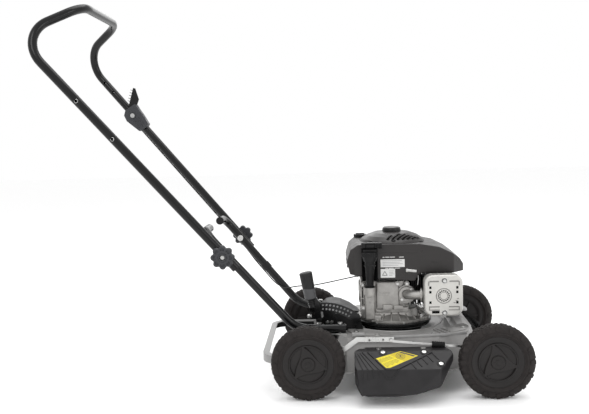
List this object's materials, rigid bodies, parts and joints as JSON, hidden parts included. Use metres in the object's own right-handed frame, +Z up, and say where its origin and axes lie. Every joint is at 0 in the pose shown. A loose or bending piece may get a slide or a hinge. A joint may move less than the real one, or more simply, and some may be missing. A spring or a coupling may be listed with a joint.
{
  "type": "rotary lawn mower",
  "caption": "Petrol rotary lawn mower with pressed steel deck, side discharge chute, vertical-shaft engine, cranked height adjustment, treaded wheels and a folding tube handle.",
  "frame": {"origin": "on the ground under the crankshaft and blade spindle", "axes": "+X forward, +Y to the operator's left, +Z up; the discharge chute is on the right, at -Y"},
  "size_m": [1.3477, 0.6165, 1.1155],
  "materials": {
    "deck_paint": "satin grey paint",
    "bright_zinc": "zinc plated",
    "guard_paint": "satin light grey paint",
    "black_paint": "gloss black powder coat",
    "tyre_rubber": "matte rubber",
    "wheel_plastic": "moulded black plastic",
    "chute_plastic": "charcoal moulded plastic",
    "black_plastic": "satin black plastic",
    "grey_plastic": "dark grey plastic",
    "soft_rubber": "matte black rubber",
    "cable_sheath": "smooth black sheath",
    "cast_aluminium": "as cast",
    "guard_silver": "pressed bright plate",
    "muffler_steel": "dull steel",
    "shroud_plastic": "charcoal satin plastic",
    "tank_plastic": "natural polyethylene",
    "label_film": "printed film",
    "forged_steel": "machined",
    "blade_steel": "dark spring steel"
  },
  "bodies": {
    "chassis": {"air_filter_cover": "black_plastic", "cable_clip": "black_plastic", "carburettor": "cast_aluminium", "clamp_bolts": "bright_zinc", "crankcase": "cast_aluminium", "cylinder_and_head": "cast_aluminium", "deck": "deck_paint", "deck_brackets": "bright_zinc", "discharge_chute": "chute_plastic", "engine_mount_ring": "black_paint", "engine_plate": "deck_paint", "engine_shroud": "shroud_plastic", "engine_sump": "cast_aluminium", "fuel_tank": "tank_plastic", "handle_end_plugs": "black_plastic", "height_quadrant": "black_paint", "labels": "label_film", "lower_handle_left": "black_paint", "lower_handle_right": "black_paint", "muffler": "muffler_steel", "muffler_guard": "guard_silver", "oil_filler_tube": "black_plastic", "rear_cover": "chute_plastic", "rear_guard_bar": "guard_paint", "rear_skirt_strip": "soft_rubber", "recoil_cover": "shroud_plastic", "screws_and_bolts": "bright_zinc", "spark_plug_and_boot": "black_plastic", "throttle_cable_lower": "cable_sheath", "valve_cover": "cast_aluminium"},
    "upper_handle": {"upper_handle": "black_paint", "throttle_housing": "grey_plastic", "throttle_bolt": "bright_zinc", "throttle_cable_upper": "cable_sheath"},
    "throttle_lever": {"throttle_lever": "black_plastic"},
    "knob_left": {"clamp_knob_left": "black_plastic"},
    "knob_right": {"clamp_knob_right": "black_plastic"},
    "rear_crank": {"rear_crank_axle": "black_paint", "height_lever": "black_paint", "height_grip": "black_plastic"},
    "front_crank": {"front_crank_axle": "black_paint"},
    "height_link": {"height_link": "bright_zinc"},
    "rotor": {"crankshaft": "forged_steel", "flywheel": "cast_aluminium", "blade_boss": "forged_steel", "cutting_blade": "blade_steel", "blade_bolt": "bright_zinc"},
    "starter_grip": {"starter_grip": "black_plastic", "starter_rope": "cable_sheath"},
    "starter_pulley": {"starter_pulley": "black_plastic"},
    "fuel_cap": {"fuel_cap": "black_plastic"},
    "oil_cap": {"oil_cap": "black_plastic"},
    "wheel_rear_right": {"tyre_rear_right": "tyre_rubber", "rim_rear_right": "wheel_plastic"},
    "wheel_rear_left": {"tyre_rear_left": "tyre_rubber", "rim_rear_left": "wheel_plastic"},
    "wheel_front_right": {"tyre_front_right": "tyre_rubber", "rim_front_right": "wheel_plastic"},
    "wheel_front_left": {"tyre_front_left": "tyre_rubber", "rim_front_left": "wheel_plastic"}
  },
  "joints": [
    {"name": "handle_fold", "type": "hinge", "parent": "chassis", "child": "upper_handle", "pos_m": [-0.485, 0, 0.396], "axis": [0, 1, 0], "range_deg": [0, 130]},
    {"name": "knob_left_turn", "type": "hinge", "parent": "upper_handle", "child": "knob_left", "pos_m": [-0.485, 0.23, 0.396], "axis": [0, 1, 0], "continuous": true},
    {"name": "knob_right_turn", "type": "hinge", "parent": "upper_handle", "child": "knob_right", "pos_m": [-0.485, -0.23, 0.396], "axis": [0, -1, 0], "continuous": true},
    {"name": "throttle", "type": "hinge", "parent": "upper_handle", "child": "throttle_lever", "pos_m": [-0.8437, 0.249, 0.812], "axis": [0, 1, 0], "range_deg": [-20, 50]},
    {"name": "height_adjust", "type": "hinge", "parent": "chassis", "child": "rear_crank", "pos_m": [-0.213, 0, 0.076], "axis": [0, 1, 0], "range_deg": [0, 30]},
    {"name": "front_crank_turn", "type": "hinge", "parent": "chassis", "child": "front_crank", "pos_m": [0.299, 0, 0.076], "axis": [0, 1, 0], "range_deg": [0, 30]},
    {"name": "link_swing", "type": "hinge", "parent": "rear_crank", "child": "height_link", "pos_m": [-0.2255, -0.216, 0.118], "axis": [0, 1, 0], "range_deg": [-30, 0]},
    {"name": "crankshaft_spin", "type": "hinge", "parent": "chassis", "child": "rotor", "pos_m": [0, 0, 0.2], "axis": [0, 0, 1], "continuous": true},
    {"name": "starter_pull", "type": "slide", "parent": "chassis", "child": "starter_grip", "axis": [0, -1, 0], "range_m": [0, 0.09], "stiffness_N_per_m": 40},
    {"name": "starter_pulley_turn", "type": "hinge", "parent": "chassis", "child": "starter_pulley", "pos_m": [0, 0, 0.403], "axis": [0, 0, 1], "range_deg": [0, 76.33]},
    {"name": "fuel_cap_turn", "type": "hinge", "parent": "chassis", "child": "fuel_cap", "pos_m": [-0.093, 0.076, 0.408], "axis": [0, 0, 1], "continuous": true},
    {"name": "oil_cap_turn", "type": "hinge", "parent": "chassis", "child": "oil_cap", "pos_m": [-0.074, -0.124, 0.37], "axis": [0, 0, 1], "continuous": true},
    {"name": "wheel_rear_right_spin", "type": "hinge", "parent": "rear_crank", "child": "wheel_rear_right", "pos_m": [-0.255, -0.26, 0.1025], "axis": [0, 1, 0], "continuous": true},
    {"name": "wheel_rear_left_spin", "type": "hinge", "parent": "rear_crank", "child": "wheel_rear_left", "pos_m": [-0.255, 0.26, 0.1025], "axis": [0, 1, 0], "continuous": true},
    {"name": "wheel_front_right_spin", "type": "hinge", "parent": "front_crank", "child": "wheel_front_right", "pos_m": [0.257, -0.26, 0.1025], "axis": [0, 1, 0], "continuous": true},
    {"name": "wheel_front_left_spin", "type": "hinge", "parent": "front_crank", "child": "wheel_front_left", "pos_m": [0.257, 0.26, 0.1025], "axis": [0, 1, 0], "continuous": true}
  ],
  "couplings": [
    {"joint": "front_crank_turn", "follows": "height_adjust", "ratio": 1},
    {"joint": "link_swing", "follows": "height_adjust", "ratio": -1},
    {"joint": "starter_pulley_turn", "follows": "starter_pull", "rad_per_m": 14.706}
  ]
}
